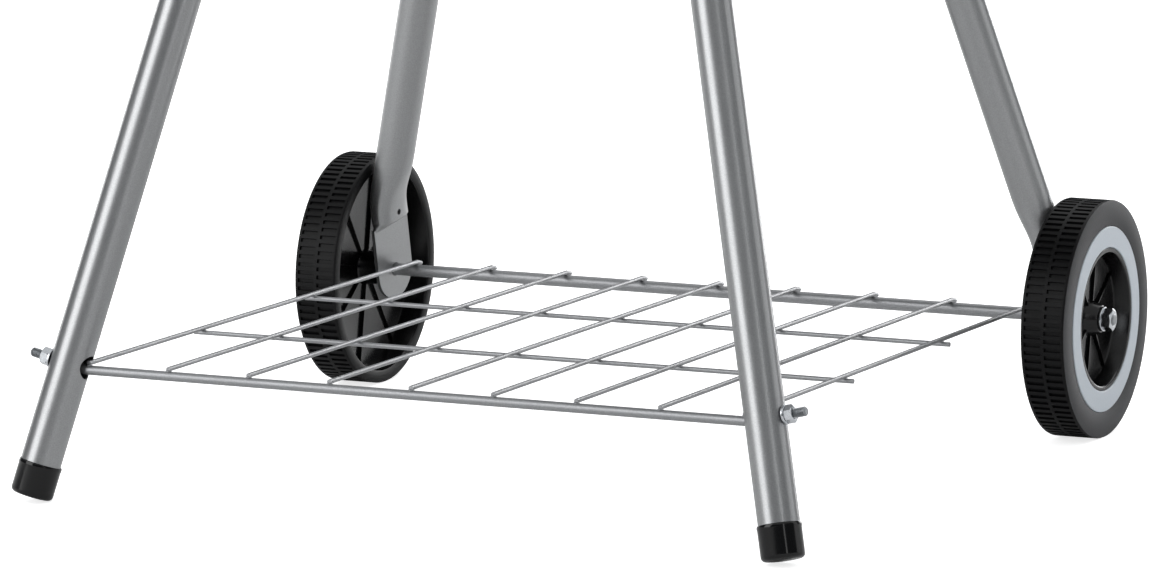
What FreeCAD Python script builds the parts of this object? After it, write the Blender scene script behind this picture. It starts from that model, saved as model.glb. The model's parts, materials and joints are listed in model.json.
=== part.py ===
import FreeCAD, Part

import math
import os

from FreeCAD import Placement, Rotation, Vector

# A kettle charcoal grill on four splayed legs: two front legs on capped feet, two rear legs
# that end in flattened eyes on a wheel axle, a wire shelf between them, and a bowl with its
# grates, ash pan, dampers and lid on top.
#
# Frame: millimetres, +Z up, +X to the right of someone standing at the front, +Y to the back.
# The pieces are drawn about the bowl's axis. They are written with the origin on the ground at
# the middle of the whole grill's box, which is a little further back.

SIZES = {
    # legs
    "tube_dia": 25.4, "tube_wall": 1.2,
    "front_half_span": 233.14, "rear_half_span": 248.6,      # leg axes at the shelf rod's height
    "front_lean_in": 0.239, "front_lean_back": 0.2137,        # slopes, per unit of height
    "rear_lean_in": 0.2733, "rear_lean_forward": 0.2212,
    "rod_front": 225.8, "axle_back": 240.8,                  # distances from the bowl's axis
    # shelf
    "rod_dia": 6.0, "rod_height": 84.7, "rod_entry_dia": 15.0, "rod_entry_rise": 1.5,
    "wire_dia": 3.0, "wire_pitch": 55.0, "wire_count": 9,
    "wire_front_end": 0.5, "wire_back_end": 6.7, "wire_end_drop": 1.2, "wire_bend_back": 1.2,
    "weld_sink": 0.15,
    "cross_overhang": 6.0, "cross_front": 154.0, "cross_rear": 312.0,
    # axle and wheels
    "axle_dia": 8.0, "wheel_dia": 154.0, "wheel_width": 29.5, "wheel_inner_face": 243.0,
    "hub_clearance": 0.05, "ring_outer": 60.0, "ring_inner": 46.5, "ring_depth": 1.5,
    "web_depth": 11.5, "web_thick": 3.0, "hub_inset": 3.0, "hub_proud": 1.5, "end_play": 0.3,
    "dish_inner": 67.0, "dish_outer": 43.5, "hub_dia": 24.0, "axle_tip": 1.0,
    "rib_count": 8, "rib_turn": 10.0, "rib_thick": 1.0, "outer_rib_height": 3.5, "inner_rib_height": 3.0,
    # flattened rear leg ends
    "eye_half_width": 19.6, "eye_thickness": 2.4, "eye_toe": 8.7, "eye_plane": 236.5,
    "eye_hole": 9.0, "crush_half_width": 16.6, "crush_half_thick": 8.0, "crush_top": 160.0,
    "crush_foot": 113.0, "crush_step": 5.0, "drain_up": 41.6, "drain_dia": 4.0,
    # foot caps
    "cap_dia": 27.2, "cap_height": 21.5, "cap_floor": 3.0, "cap_round": 3.0,
    # hexagon hardware: across flats and thickness
    "rod_nut_af": 10.0, "rod_nut_thick": 5.0, "rod_washer_dia": 12.0, "washer_thick": 1.6,
    "rod_stub": 8.0, "screw_head_thick": 4.0, "axle_nut_af": 13.0, "axle_nut_thick": 6.0, "axle_washer_dia": 16.0,
    # bowl and lid
    "rim_radius": 285.0, "rim_height": 660.0, "bowl_depth": 225.0, "sheet_thick": 1.2,
    "dome_power": 2.2, "bead_dia": 6.0, "lid_height": 175.0, "lid_gap": 0.3, "skirt_height": 6.0,
    # leg sockets
    "socket_dia": 30.0, "socket_low": 440.0, "leg_top": 505.0, "socket_screw_up": 14.0,
    # grates
    "grill_height": 632.0, "grill_radius": 270.0, "grill_pitch": 15.0,
    "coal_height": 522.0, "coal_radius": 205.0, "coal_pitch": 22.0,
    "grate_ring_dia": 6.0, "grate_rod_dia": 4.0, "grill_bearer": 120.0, "coal_bearer": 90.0,
    "loop_half_span": 35.0, "loop_rise": 16.0, "loop_lean": 6.0, "loop_inset": 3.0, "loop_dia": 5.0,
    "rest_gap": 0.1, "tab_lap": 4.0, "tab_width": 16.0, "tab_thick": 2.0,
    # dampers
    "vent_radius": 11.0, "vent_circle": 28.0, "damper_radius": 46.0, "damper_gap": 0.8,
    "pivot_dia": 6.0, "pivot_head_dia": 12.0, "pivot_clearance": 0.05,
    "lever_dia": 5.0, "lever_drop": 4.0, "lever_reach": 118.0, "knob_reach": 150.0, "knob_dia": 12.0,
    "knob_hold": 20.0,
    # ash pan on its two cross wires
    "ash_wire_height": 385.0, "ash_wire_dia": 5.0, "ash_radius": 110.0, "ash_depth": 28.0,
    "ash_taper": 18.0, "ash_bead_dia": 4.0, "ash_wire_inset": 6.0,
    # handles
    "handle_rod_dia": 8.0, "handle_reach": 48.0, "handle_span": 110.0, "grip_dia": 24.0,
    "handle_drop": 32.0, "handle_root": 6.0, "grip_inset": 10.0,
    # lid fittings
    "skirt_inset": 5.0, "lid_vent_out": 120.0, "lid_disc_inset": 3.0, "lid_disc_lift": 1.6,
    "tab_reach": 58.0, "pull_width": 8.0, "pull_length": 22.0, "pull_rise": 10.0,
    "screw_dia": 5.0, "lid_head_dia": 10.0, "shield_head_dia": 9.0, "shield_head_thick": 3.0,
    "post_span": 100.0, "post_rise": 36.0, "post_foot_dia": 22.0, "post_top_dia": 18.0,
    "bow_dia": 22.0, "bow_overhang": 12.0, "post_sink": 0.5, "screw_reach": 20.0,
    "shield_length": 140.0, "shield_width": 40.0, "shield_gap": 10.0,
}

doc = FreeCAD.newDocument("KettleGrill")
sheet = doc.addObject("Spreadsheet::Sheet", "Dims")
for row, (alias, value) in enumerate(SIZES.items(), start=1):
    sheet.set(f"A{row}", alias)
    sheet.set(f"B{row}", str(value))
    sheet.setAlias(f"B{row}", alias)
doc.recompute()

NODES = []
UP = Vector(0, 0, 1)
ACROSS = Vector(1, 0, 0)
CLEAR_CUT = 15.0  # how far a cutting tool stands past the face that it cuts


def size(alias):
    """A driving dimension, read back from the sheet."""
    return float(sheet.get(alias))


def along(direction, base):
    """A placement that turns +Z to the direction and moves the origin to the base."""
    return Placement(base, Rotation(UP, direction))


def solid(kind, name, place, **sizes):
    """A Part primitive whose sizes are expressions on the sheet."""
    item = doc.addObject(f"Part::{kind}", name)
    for key, expression in sizes.items():
        item.setExpression(key, expression)
    item.Placement = place
    return item


def rod(name, radius, start, end):
    """A round bar between two points."""
    item = solid("Cylinder", name, along(end - start, start), Radius=radius)
    item.Height = (end - start).Length
    return item


def ball(name, centre, radius):
    """The round of a bend, where two rods meet."""
    return solid("Sphere", name, Placement(centre, Rotation()), Radius=radius)


def cut(name, base, *tools):
    """The base with every tool taken away."""
    for count, tool in enumerate(tools):
        step = doc.addObject("Part::Cut", name if count == len(tools) - 1 else f"{name}_cut{count}")
        step.Base = base
        step.Tool = tool
        base = step
    return base


def fuse(name, items):
    item = doc.addObject("Part::MultiFuse", name)
    item.Shapes = items
    return item


def group(name, items):
    """Separate solids that share one node."""
    item = doc.addObject("Part::Compound", name)
    item.Links = items
    return item


def shape(name, made):
    """A free-form piece, where no primitive or sketch fits."""
    item = doc.addObject("Part::Feature", name)
    item.Shape = made
    return item


def node(item, label):
    item.Label = label
    NODES.append(item)
    return item


def mirrored(name, source):
    """The same piece on the other side of the middle plane."""
    item = doc.addObject("Part::Mirroring", name)
    item.Source = source
    item.Normal = ACROSS
    return item


# ---------------------------------------------------------------- where things are

ROD_Y = -size("rod_front")
AXLE_Y = size("axle_back")
ROD_Z = size("rod_height")
AXLE_Z = size("wheel_dia") / 2
RIM_Z = size("rim_height")
SINK = size("weld_sink")
WIRE_Z = ROD_Z + size("rod_dia") / 2 + size("wire_dia") / 2 - SINK

FRONT_UP = Vector(-size("front_lean_in"), size("front_lean_back"), 1)
REAR_UP = Vector(-size("rear_lean_in"), -size("rear_lean_forward"), 1)
FRONT_FOOT = Vector(size("front_half_span"), ROD_Y, ROD_Z)
REAR_FOOT = Vector(size("rear_half_span"), AXLE_Y, AXLE_Z)


def on_front_leg(height):
    """The right front leg's axis at a height."""
    return FRONT_FOOT + FRONT_UP * (height - ROD_Z)


def on_rear_leg(height):
    """The right rear leg's axis at a height."""
    return REAR_FOOT + REAR_UP * (height - AXLE_Z)


def flip(point):
    return Vector(-point.x, point.y, point.z)


# ---------------------------------------------------------------- bowl and lid shells

def dome_curve(radius, height, points=14):
    """Points (r, z) of a superellipse quarter, from the rim (r = radius) to the crown."""
    power = 2 / size("dome_power")
    quarter = [math.pi / 2 * i / (points - 1) for i in range(points)]
    return [(radius * math.cos(a) ** power, height * math.sin(a) ** power) for a in quarter[:-1]] \
        + [(0.0, height)]


def spline(points, place):
    """A smooth curve in the XZ plane through (r, z) points, each placed by the function."""
    curve = Part.BSplineCurve()
    curve.interpolate([place(r, z) for r, z in points])
    return curve.toShape()


def dome(radius, height, place, thick=0.0):
    """A solid dome, or a shell when it has a thickness, turned about the bowl's axis."""
    outer = dome_curve(radius, height)
    edges = [spline(outer, place)]
    rim, crown = place(radius, 0), place(0, height)
    if thick:
        inner = dome_curve(radius - thick, height - thick)
        edges += [spline(inner, place)]
        edges.append(Part.makeLine(rim, place(radius - thick, 0)))
        edges.append(Part.makeLine(crown, place(0, height - thick)))
    else:
        edges += [Part.makeLine(rim, place(0, 0)), Part.makeLine(place(0, 0), crown)]
    face = Part.Face(Part.Wire(Part.__sortEdges__(edges)))
    turned = face.revolve(Vector(0, 0, 0), UP, 360)
    return turned if turned.Volume > 0 else turned.reversed()


def below_rim(r, z):
    return Vector(r, 0, RIM_Z - z)


LID_Z = RIM_Z + size("bead_dia") + size("lid_gap")


def above_rim(r, z):
    return Vector(r, 0, LID_Z + z)


def bowl_radius(height):
    """The bowl's outer radius at a height."""
    down = (RIM_Z - height) / size("bowl_depth")
    return size("rim_radius") * (1 - down ** size("dome_power")) ** (1 / size("dome_power"))


BOWL_OUTSIDE = shape("bowl_outside", dome(size("rim_radius"), size("bowl_depth"), below_rim))
BOWL_FLOOR = RIM_Z - size("bowl_depth")
LID_CROWN = LID_Z + size("lid_height")


def vents(name, centre, normal):
    """Four round vent holes about a point, as cutting tools that reach well past the sheet."""
    place = along(normal, centre - normal * CLEAR_CUT)
    tools = []
    for quarter in range(4):
        turn = Rotation(UP, 90 * quarter + 45)
        offset = turn.multVec(Vector(size("vent_circle"), 0, 0))
        tool = solid("Cylinder", f"{name}_{quarter}", place.multiply(Placement(offset, Rotation())),
                     Radius="Dims.vent_radius")
        tool.Height = 2 * CLEAR_CUT
        tools.append(tool)
    return tools


def bead(name, height):
    """The rolled edge of a pressed sheet."""
    return solid("Torus", name, Placement(Vector(0, 0, height), Rotation()),
                 Radius1="Dims.rim_radius - Dims.sheet_thick / 2", Radius2="Dims.bead_dia / 2")


bowl_shell = shape("bowl_shell", dome(size("rim_radius"), size("bowl_depth"), below_rim, size("sheet_thick")))
bowl_body = fuse("bowl_body", [bowl_shell, bead("bowl_bead", RIM_Z)])
BOWL_FOOT = Vector(0, 0, BOWL_FLOOR)
pivot_hole = rod("bowl_pivot_hole", "Dims.pivot_dia / 2", BOWL_FOOT - UP * CLEAR_CUT, BOWL_FOOT + UP * CLEAR_CUT)
node(cut("bowl", bowl_body, pivot_hole, *vents("bowl_vent", BOWL_FOOT, UP)), "bowl")

# ---------------------------------------------------------------- front legs and their feet

FRONT_AXIS = Vector(FRONT_UP).normalize()
LEAN = math.acos(FRONT_AXIS.z)
CAP_LIFT = (size("cap_round") * (1 - math.cos(LEAN))
            + (size("cap_dia") / 2 - size("cap_round")) * math.sin(LEAN))
CAP_BASE = on_front_leg(CAP_LIFT)
TUBE_BASE = CAP_BASE + FRONT_AXIS * size("cap_floor")
# the shelf rod's ends go square through the leg, in the plane of the rod
ROD_END_WAY = Vector(1, 0, size("front_lean_in")).normalize()

cap_block = solid("Cylinder", "cap_block", along(FRONT_AXIS, CAP_BASE),
                  Radius="Dims.cap_dia / 2", Height="Dims.cap_height")
doc.recompute()


def rounded(name, base, radii):
    """Fillets on a solid's round edges: the radius for an edge comes from its centre."""
    item = doc.addObject("Part::Fillet", name)
    item.Base = base
    numbered = enumerate(base.Shape.Edges, start=1)
    chosen = [(number, radii(edge)) for number, edge in numbered if edge.isClosed()]
    item.Edges = [(number, radius, radius) for number, radius in chosen if radius]
    return item


def cap_edge(edge):
    low = (edge.CenterOfMass - CAP_BASE).Length < 1
    return size("cap_round") if low else 1.0


cap_rounded = rounded("cap_rounded", cap_block, cap_edge)
cap_bore = solid("Cylinder", "cap_bore", along(FRONT_AXIS, TUBE_BASE),
                 Radius="Dims.tube_dia / 2", Height="Dims.cap_height")
cap_right = node(cut("foot_cap_r", cap_rounded, cap_bore), "foot_cap_right")
node(mirrored("foot_cap_l", cap_right), "foot_cap_left")

SOCKET_SCREW_Z = size("socket_low") + size("socket_screw_up")
ASH_Z = size("ash_wire_height")


def ash_wire(name, start, end):
    """A wire from leg to leg, with each end just inside its tube."""
    inset = (end - start).normalize() * size("ash_wire_inset")
    return rod(name, "Dims.ash_wire_dia / 2", start + inset, end - inset)


def screw_way(point, leg_axis):
    """Away from the bowl's axis, square to the leg."""
    out = Vector(point.x, point.y, 0)
    return (out - leg_axis * out.dot(leg_axis)).normalize()


def screw_hole(name, point, leg_axis):
    return rod(name, "Dims.rod_dia / 2", point, point + screw_way(point, leg_axis) * 2 * CLEAR_CUT)


front_outer = rod("front_outer", "Dims.tube_dia / 2", TUBE_BASE, on_front_leg(size("leg_top")))
front_inner = rod("front_inner", "Dims.tube_dia / 2 - Dims.tube_wall",
                  TUBE_BASE - FRONT_AXIS, on_front_leg(size("leg_top") + CLEAR_CUT))
rod_hole = rod("rod_hole", "Dims.rod_dia / 2", FRONT_FOOT - ROD_END_WAY * 2 * CLEAR_CUT,
               FRONT_FOOT + ROD_END_WAY * 2 * CLEAR_CUT)
# the hole that the bent rod is threaded in through is wider than the rod
entry_centre = FRONT_FOOT + FRONT_AXIS * size("rod_entry_rise")
entry_hole = rod("entry_hole", "Dims.rod_entry_dia / 2", entry_centre - ROD_END_WAY * 2 * CLEAR_CUT, entry_centre)
ASH_WAY = (flip(on_rear_leg(ASH_Z)) - on_front_leg(ASH_Z)).normalize()
front_ash_hole = rod("front_ash_hole", "Dims.ash_wire_dia / 2", on_front_leg(ASH_Z),
                     on_front_leg(ASH_Z) + ASH_WAY * 2 * CLEAR_CUT)
front_right = node(cut("leg_fr", front_outer, front_inner, rod_hole, entry_hole, BOWL_OUTSIDE,
                       screw_hole("front_screw_hole", on_front_leg(SOCKET_SCREW_Z), FRONT_AXIS), front_ash_hole),
                   "leg_front_right")

# ---------------------------------------------------------------- rear legs

REAR_AXIS = Vector(REAR_UP).normalize()
EYE_UP = Vector(0, REAR_UP.y, 1).normalize()
EYE_CENTRE = Vector(size("eye_plane"), AXLE_Y, AXLE_Z)
TOE = math.radians(size("eye_toe"))
EYE_FACING = Vector(math.cos(TOE), math.sin(TOE), 0)
BORE_STOP = 3.0      # the tube's bore ends this far above the pressed part
CRUSH_STATIONS = 6   # sections through the pressed part, from round to oval


def blend(a, b, t):
    return a * (1 - t) + b * t


def crushed_section(centre, way, half_width, half_thick, power, points=28):
    """A closed superellipse across the tube, turned so its flat faces the wheel."""
    wide = way.cross(EYE_FACING).normalize()
    thick = wide.cross(way).normalize()
    ring = []
    for i in range(points):
        a = 2 * math.pi * i / points
        c, s = math.cos(a), math.sin(a)
        u = half_width * math.copysign(abs(c) ** (2 / power), c)
        v = half_thick * math.copysign(abs(s) ** (2 / power), s)
        ring.append(centre + wide * u + thick * v)
    curve = Part.BSplineCurve()
    curve.interpolate(Points=ring, PeriodicFlag=True)
    return Part.Wire(curve.toShape())


def crushed_end():
    """The tube's end: round at the top, pressed oval, then stepped down to a flat eye."""
    high, low = size("crush_top"), size("crush_foot")
    radius = size("tube_dia") / 2
    sections = []
    for i in range(CRUSH_STATIONS):
        t = i / (CRUSH_STATIONS - 1)
        ease = t * t * (3 - 2 * t)
        height = high + (low - high) * t
        straight = on_rear_leg(height)
        shoulder = EYE_CENTRE + EYE_UP * ((height - AXLE_Z) / EYE_UP.z) - ACROSS
        # the axis moves over late, so that the leg clears the wheel's rim
        centre = blend(straight, shoulder, ease * ease)
        sections.append(crushed_section(centre, blend(REAR_AXIS, EYE_UP, ease).normalize(),
                                        blend(radius, size("crush_half_width"), ease),
                                        blend(radius, size("crush_half_thick"), ease), 2 + 0.5 * ease))
    body = Part.makeLoft(sections, True)
    step_top = sections[-1]
    eye_top = EYE_CENTRE + EYE_UP * ((low - size("crush_step") - AXLE_Z) / EYE_UP.z)
    step_foot = crushed_section(eye_top, EYE_UP, size("eye_half_width") - 0.1,
                                size("eye_thickness") / 2, 7)
    step = Part.makeLoft([step_top, step_foot], True, True)
    wide = EYE_UP.cross(EYE_FACING).normalize()
    facing = wide.cross(EYE_UP).normalize()
    half = size("eye_half_width")
    back = facing * (-size("eye_thickness") / 2)
    plate_top = eye_top + EYE_UP * 2
    corners = [plate_top + wide * half + back, EYE_CENTRE + wide * half + back,
               EYE_CENTRE - wide * half + back, plate_top - wide * half + back]
    end = Part.Arc(corners[1], EYE_CENTRE - EYE_UP * half + back, corners[2]).toShape()
    outline = Part.Wire([Part.makeLine(corners[0], corners[1]), end,
                         Part.makeLine(corners[2], corners[3]), Part.makeLine(corners[3], corners[0])])
    plate = Part.Face(outline).extrude(facing * size("eye_thickness"))
    return body.fuse([step, plate]).removeSplitter()


crush = shape("crush", crushed_end())
rear_tube = rod("rear_tube", "Dims.tube_dia / 2", on_rear_leg(size("crush_top")), on_rear_leg(size("leg_top")))
rear_solid = fuse("rear_solid", [crush, rear_tube])
rear_bore = rod("rear_bore", "Dims.tube_dia / 2 - Dims.tube_wall",
                on_rear_leg(size("crush_top") + BORE_STOP), on_rear_leg(size("leg_top") + CLEAR_CUT))
eye_hole = rod("eye_hole", "Dims.eye_hole / 2", EYE_CENTRE - ACROSS * CLEAR_CUT, EYE_CENTRE + ACROSS * CLEAR_CUT)
drain_spot = EYE_CENTRE + EYE_UP * size("drain_up")
drain_hole = rod("drain_hole", "Dims.drain_dia / 2", drain_spot - EYE_FACING * 25, drain_spot - EYE_FACING * 5)
rear_ash_hole = rod("rear_ash_hole", "Dims.ash_wire_dia / 2", on_rear_leg(ASH_Z),
                    on_rear_leg(ASH_Z) + Vector(ASH_WAY.x, -ASH_WAY.y, 0) * 2 * CLEAR_CUT)
rear_right = node(cut("leg_rr", rear_solid, rear_bore, eye_hole, drain_hole, BOWL_OUTSIDE,
                      screw_hole("rear_screw_hole", on_rear_leg(SOCKET_SCREW_Z), REAR_AXIS), rear_ash_hole),
                  "leg_rear_right")

front_left = node(mirrored("leg_fl", front_right), "leg_front_left")
rear_left = node(mirrored("leg_rl", rear_right), "leg_rear_left")


# ---------------------------------------------------------------- leg sockets under the bowl

def socket(name, low, high, screw):
    """A tube stub on the bowl's underside that the leg plugs into, coped to the bowl."""
    axis = (high - low).normalize()
    outer = rod(f"{name}_outer", "Dims.socket_dia / 2", low, high)
    inner = rod(f"{name}_inner", "Dims.tube_dia / 2", low - (high - low) * 0.1, high + (high - low) * 0.1)
    return cut(name, outer, inner, BOWL_OUTSIDE, screw_hole(f"{name}_hole", screw, axis))


def hexagon(name, base, way, across_flats, thickness):
    """A hexagonal block standing on the base."""
    return solid("Prism", name, along(way, base), Circumradius=f"{across_flats} / sqrt(3)", Height=thickness)


def socket_screw(name, point, leg_axis):
    """A hexagon-head screw through the socket and the leg."""
    way = screw_way(point, leg_axis)
    seat = point + way * (size("socket_dia") / 2)
    shank_end = point + way * (size("tube_dia") / 4)
    return fuse(name, [hexagon(f"{name}_head", seat, way, "Dims.rod_nut_af", "Dims.screw_head_thick"),
                       rod(f"{name}_shank", "Dims.rod_dia / 2", shank_end, seat + way)])


front_socket = socket("socket_front", on_front_leg(size("socket_low")), on_front_leg(size("leg_top")),
                      on_front_leg(SOCKET_SCREW_Z))
rear_socket = socket("socket_rear", on_rear_leg(size("socket_low")), on_rear_leg(size("leg_top")),
                     on_rear_leg(SOCKET_SCREW_Z))
right_sockets = [front_socket, rear_socket]
left_sockets = [mirrored(f"socket_left_{i}", item) for i, item in enumerate(right_sockets)]
node(group("leg_sockets", right_sockets + left_sockets), "leg_sockets")
right_screws = [socket_screw("screw_front", on_front_leg(SOCKET_SCREW_Z), FRONT_AXIS),
                socket_screw("screw_rear", on_rear_leg(SOCKET_SCREW_Z), REAR_AXIS)]
left_screws = [mirrored(f"screw_left_{i}", item) for i, item in enumerate(right_screws)]
node(group("socket_screws", right_screws + left_screws), "socket_screws")

# ---------------------------------------------------------------- wire shelf

# straight between the legs, then bent up at each end to stand square to the leaning leg
BEND = FRONT_FOOT - ROD_END_WAY * (size("tube_dia") / 2 - 1)
STACK = size("tube_dia") / 2 + size("washer_thick") + size("rod_nut_thick") + size("rod_stub")
ROD_LINE_Z = BEND.z
ROD_TIP = FRONT_FOOT + ROD_END_WAY * STACK
WIRE_LEVEL = WIRE_Z - (ROD_Z - ROD_LINE_Z)


node(fuse("shelf_rod", [rod("rod_middle", "Dims.rod_dia / 2", flip(BEND), BEND),
                        rod("rod_end_right", "Dims.rod_dia / 2", BEND, ROD_TIP),
                        rod("rod_end_left", "Dims.rod_dia / 2", flip(BEND), flip(ROD_TIP)),
                        ball("elbow_right", BEND, "Dims.rod_dia / 2"),
                        ball("elbow_left", flip(BEND), "Dims.rod_dia / 2")]), "shelf_front_rod")


def shelf_point(x, y):
    """A point on the long wires' plane, which falls or rises evenly from rod to axle."""
    back_z = AXLE_Z + size("axle_dia") / 2 + size("wire_dia") / 2
    t = (y - ROD_Y) / (AXLE_Y - ROD_Y)
    return Vector(x, y, blend(WIRE_LEVEL, back_z, t))


def bent_wire(radius, points):
    """A wire swept along straight runs, with a mitre at each bend."""
    profile = Part.Wire(Part.makeCircle(radius, points[0], points[1] - points[0]))
    mitred = 1
    return Part.makePolygon(points).makePipeShell([profile], True, False, mitred)


half_grid = (size("wire_count") - 1) / 2
long_wires = []
for number in range(1, int(size("wire_count")) + 1):
    x = (number - 1 - half_grid) * size("wire_pitch")
    over_axle = shelf_point(x, AXLE_Y + size("wire_bend_back"))
    tip = shelf_point(x, AXLE_Y + size("wire_back_end")) - Vector(0, 0, size("wire_end_drop"))
    start = shelf_point(x, ROD_Y - size("wire_front_end"))
    long_wires.append(shape(f"long_wire_{number}", bent_wire(size("wire_dia") / 2, [start, over_axle, tip])))
node(group("long_wires", long_wires), "shelf_long_wires")

cross_wires = []
for name in ("cross_front", "cross_rear"):
    reach = half_grid * size("wire_pitch") + size("cross_overhang")
    drop = Vector(0, 0, size("wire_dia") - SINK)
    cross_wires.append(rod(name, "Dims.wire_dia / 2", shelf_point(-reach, ROD_Y + size(name)) - drop,
                           shelf_point(reach, ROD_Y + size(name)) - drop))
node(group("cross_wires", cross_wires), "shelf_cross_wires")


def washer(name, base, way, diameter, bore):
    """A flat ring on the base."""
    blank = solid("Cylinder", f"{name}_blank", along(way, base), Radius=f"{diameter} / 2",
                  Height="Dims.washer_thick")
    return cut(name, blank, rod(f"{name}_hole", f"{bore} / 2", base - way, base + way * CLEAR_CUT))


def nut(name, base, way, across_flats, thickness, bore):
    """A hexagon nut on the base."""
    blank = hexagon(f"{name}_blank", base, way, across_flats, thickness)
    return cut(name, blank, rod(f"{name}_hole", f"{bore} / 2", base - way, base + way * CLEAR_CUT))


WASHER_SEAT = FRONT_FOOT + ROD_END_WAY * (size("tube_dia") / 2)
rod_washer = washer("rod_washer", WASHER_SEAT, ROD_END_WAY, "Dims.rod_washer_dia", "Dims.rod_dia")
rod_nut = nut("rod_nut", WASHER_SEAT + ROD_END_WAY * size("washer_thick"), ROD_END_WAY,
              "Dims.rod_nut_af", "Dims.rod_nut_thick", "Dims.rod_dia")
node(group("rod_washers", [rod_washer, mirrored("rod_washer_left", rod_washer)]), "shelf_rod_washers")
node(group("rod_nuts", [rod_nut, mirrored("rod_nut_left", rod_nut)]), "shelf_rod_nuts")

# ---------------------------------------------------------------- axle and wheels

FACE_IN = size("wheel_inner_face")
FACE_OUT = FACE_IN + size("wheel_width")
HUB_TOP = FACE_OUT - size("hub_inset")
AXLE_WASHER_X = HUB_TOP + size("end_play")
AXLE_NUT_X = AXLE_WASHER_X + size("washer_thick")
AXLE_TIP = AXLE_NUT_X + size("axle_nut_thick") + size("axle_tip")


def at_axle(x):
    return Vector(x, AXLE_Y, AXLE_Z)


node(rod("axle_bar", "Dims.axle_dia / 2", at_axle(-AXLE_TIP), at_axle(AXLE_TIP)), "axle")
axle_washer = washer("axle_washer", at_axle(AXLE_WASHER_X), ACROSS, "Dims.axle_washer_dia", "Dims.axle_dia")
axle_nut = nut("axle_nut", at_axle(AXLE_NUT_X), ACROSS,
               "Dims.axle_nut_af", "Dims.axle_nut_thick", "Dims.axle_dia")
node(group("axle_washers", [axle_washer, mirrored("axle_washer_left", axle_washer)]), "axle_washers")
node(group("axle_nuts", [axle_nut, mirrored("axle_nut_left", axle_nut)]), "axle_nuts")

WHEEL_R = size("wheel_dia") / 2
BORE_R = size("axle_dia") / 2 + size("hub_clearance")
WEB_OUT = FACE_OUT - size("web_depth")
WEB_IN = WEB_OUT - size("web_thick")
HUB_FOOT = FACE_IN - size("hub_proud")
HUB_R = size("hub_dia") / 2
DISH_IN = size("dish_inner")
DISH_OUT = size("dish_outer")
RING_SEAT = FACE_OUT - size("ring_depth")


def turned(name, profile):
    """A closed outline of (x, r) points, turned about the axle."""
    points = [Vector(x, AXLE_Y + r, AXLE_Z) for x, r in profile]
    face = Part.Face(Part.makePolygon(points + points[:1]))
    made = face.revolve(at_axle(0), ACROSS, 360)
    return shape(name, made if made.Volume > 0 else made.reversed())


# from the bore's inner end, round the dish that faces the leg, over the tread to the outer
# dish, and back along the hub
wheel_profile = [
    (HUB_FOOT, BORE_R), (HUB_FOOT, HUB_R - 2), (WEB_IN, HUB_R), (WEB_IN, DISH_IN),
    (FACE_IN + 1, DISH_IN + 1.5), (FACE_IN, DISH_IN + 2.5), (FACE_IN, WHEEL_R - 1), (FACE_IN + 1, WHEEL_R),
    (FACE_OUT - 1, WHEEL_R), (FACE_OUT, WHEEL_R - 1), (FACE_OUT, size("ring_outer")),
    (RING_SEAT, size("ring_outer")), (RING_SEAT, size("ring_inner")), (FACE_OUT, size("ring_inner")),
    (FACE_OUT, DISH_OUT), (FACE_OUT - 2, DISH_OUT - 1), (WEB_OUT, DISH_OUT - 2), (WEB_OUT, HUB_R - 0.5),
    (HUB_TOP - 1, HUB_R - 3), (HUB_TOP, HUB_R - 4), (HUB_TOP, BORE_R),
]
RING_FACE = FACE_OUT + 0.3
ring_profile = [
    (RING_SEAT, size("ring_inner")), (RING_SEAT, size("ring_outer")),
    (RING_FACE, size("ring_outer")), (RING_FACE, size("ring_inner")),
]


def ribs(name, start_x, height, inner, outer):
    """Thin radial ribs on the wheel's web."""
    made = []
    corner = Placement(Vector(0, -size("rib_thick") / 2, inner), Rotation())
    for number in range(int(size("rib_count"))):
        turn = Rotation(ACROSS, 360 * number / size("rib_count") - size("rib_turn"))
        rib = solid("Box", f"{name}_{number}", Placement(at_axle(start_x), turn).multiply(corner),
                    Length=height, Width="Dims.rib_thick")
        rib.Height = outer - inner
        made.append(rib)
    return made


RIB_ROOT = HUB_R - 2
outer_ribs = ribs("outer_rib", WEB_OUT - 1, "Dims.outer_rib_height", RIB_ROOT, DISH_OUT - 1.5)
inner_ribs = ribs("inner_rib", WEB_IN + 1 - size("inner_rib_height"), "Dims.inner_rib_height",
                  RIB_ROOT, DISH_IN + 0.5)
right_wheel = fuse("right_wheel", [turned("wheel_body", wheel_profile)] + outer_ribs + inner_ribs)
node(right_wheel, "wheel_right")
node(mirrored("left_wheel", right_wheel), "wheel_left")
right_ring = node(turned("right_ring", ring_profile), "wheel_ring_right")
node(mirrored("left_ring", right_ring), "wheel_ring_left")


# ---------------------------------------------------------------- grates

def wire_ring(name, height, radius):
    return solid("Torus", name, Placement(Vector(0, 0, height), Rotation()),
                 Radius1=radius, Radius2="Dims.grate_ring_dia / 2")


def grate(name, height, radius, pitch, bearers):
    """Parallel rods and two bearer rods welded inside a wire ring."""
    thick = size("grate_rod_dia")
    reach = size(radius)
    pieces = [wire_ring(f"{name}_ring", height, f"Dims.{radius}")]
    side = int((reach - 2 * thick) // size(pitch))
    for number in range(-side, side + 1):
        x = number * size(pitch)
        half = math.sqrt(reach ** 2 - x ** 2)
        pieces.append(rod(f"{name}_rod_{number + side}", "Dims.grate_rod_dia / 2",
                          Vector(x, -half, height), Vector(x, half, height)))
    for number, y in enumerate(bearers):
        half = math.sqrt(reach ** 2 - y ** 2)
        low = height - thick + 2 * SINK
        pieces.append(rod(f"{name}_bearer_{number}", "Dims.grate_rod_dia / 2",
                          Vector(1 - half, y, low), Vector(half - 1, y, low)))
    return fuse(name, pieces)


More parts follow.
